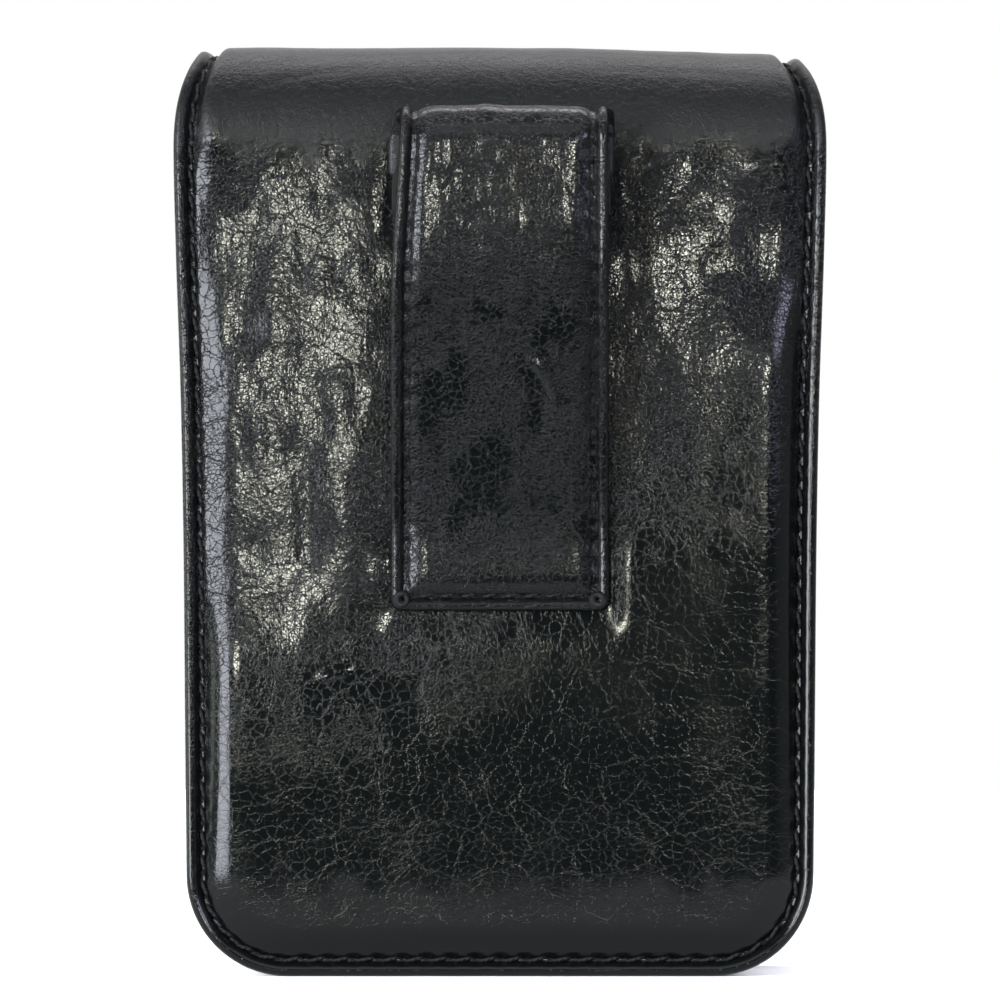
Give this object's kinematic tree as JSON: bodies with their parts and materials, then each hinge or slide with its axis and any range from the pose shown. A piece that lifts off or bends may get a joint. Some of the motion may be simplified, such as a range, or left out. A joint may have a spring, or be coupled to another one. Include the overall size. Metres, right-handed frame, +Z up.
{
  "type": "leather camera pouch",
  "caption": "Upright padded leather belt pouch for a compact camera, with a flap that folds over the top to a press stud and a belt loop on the back.",
  "frame": {"origin": "middle of the pouch's base", "axes": "+Z up towards the flap's fold, belt loop on the -Y side, flap's free end on the +Y side, X across the pouch"},
  "size_m": [0.0934, 0.0596, 0.1334],
  "materials": {
    "hide": "glazed black",
    "loop_inner": "semi-matte black",
    "lining": "short brushed nap",
    "foam": "open cell",
    "board": "pressed fibreboard",
    "webbing": "woven",
    "thread": "waxed twist",
    "snap": "black nickel"
  },
  "bodies": {
    "pouch": {"back_panel": "hide", "front_panel": "hide", "gusset": "hide", "loop_strap": "hide", "loop_lining": "loop_inner", "back_lining": "lining", "front_lining": "lining", "gusset_lining": "lining", "back_foam": "foam", "front_foam": "foam", "back_board": "board", "front_board": "board", "gusset_board": "board", "loop_core": "webbing", "back_seam_thread": "thread", "front_seam_thread": "thread", "mouth_thread": "thread", "loop_side_thread": "thread", "loop_bottom_thread": "thread", "loop_top_thread": "thread", "snap_stud": "snap", "snap_stud_post": "snap"},
    "flap_top": {"flap_top_hide": "hide", "flap_top_lining": "lining", "flap_top_foam": "foam", "flap_top_board": "board", "flap_top_thread": "thread"},
    "flap_front": {"flap_front_hide": "hide", "flap_front_lining": "lining", "flap_front_foam": "foam", "flap_front_board": "board", "flap_front_thread": "thread", "snap_cap": "snap", "snap_socket": "snap"}
  },
  "joints": [
    {"name": "flap_swing", "type": "hinge", "parent": "pouch", "child": "flap_top", "pos_m": [0, -0.01642, 0.13], "axis": [1, 0, 0], "range_deg": [0, 135]},
    {"name": "flap_lift", "type": "hinge", "parent": "flap_top", "child": "flap_front", "pos_m": [0, 0.0258, 0.13043], "axis": [1, 0, 0], "range_deg": [0, 75]}
  ]
}
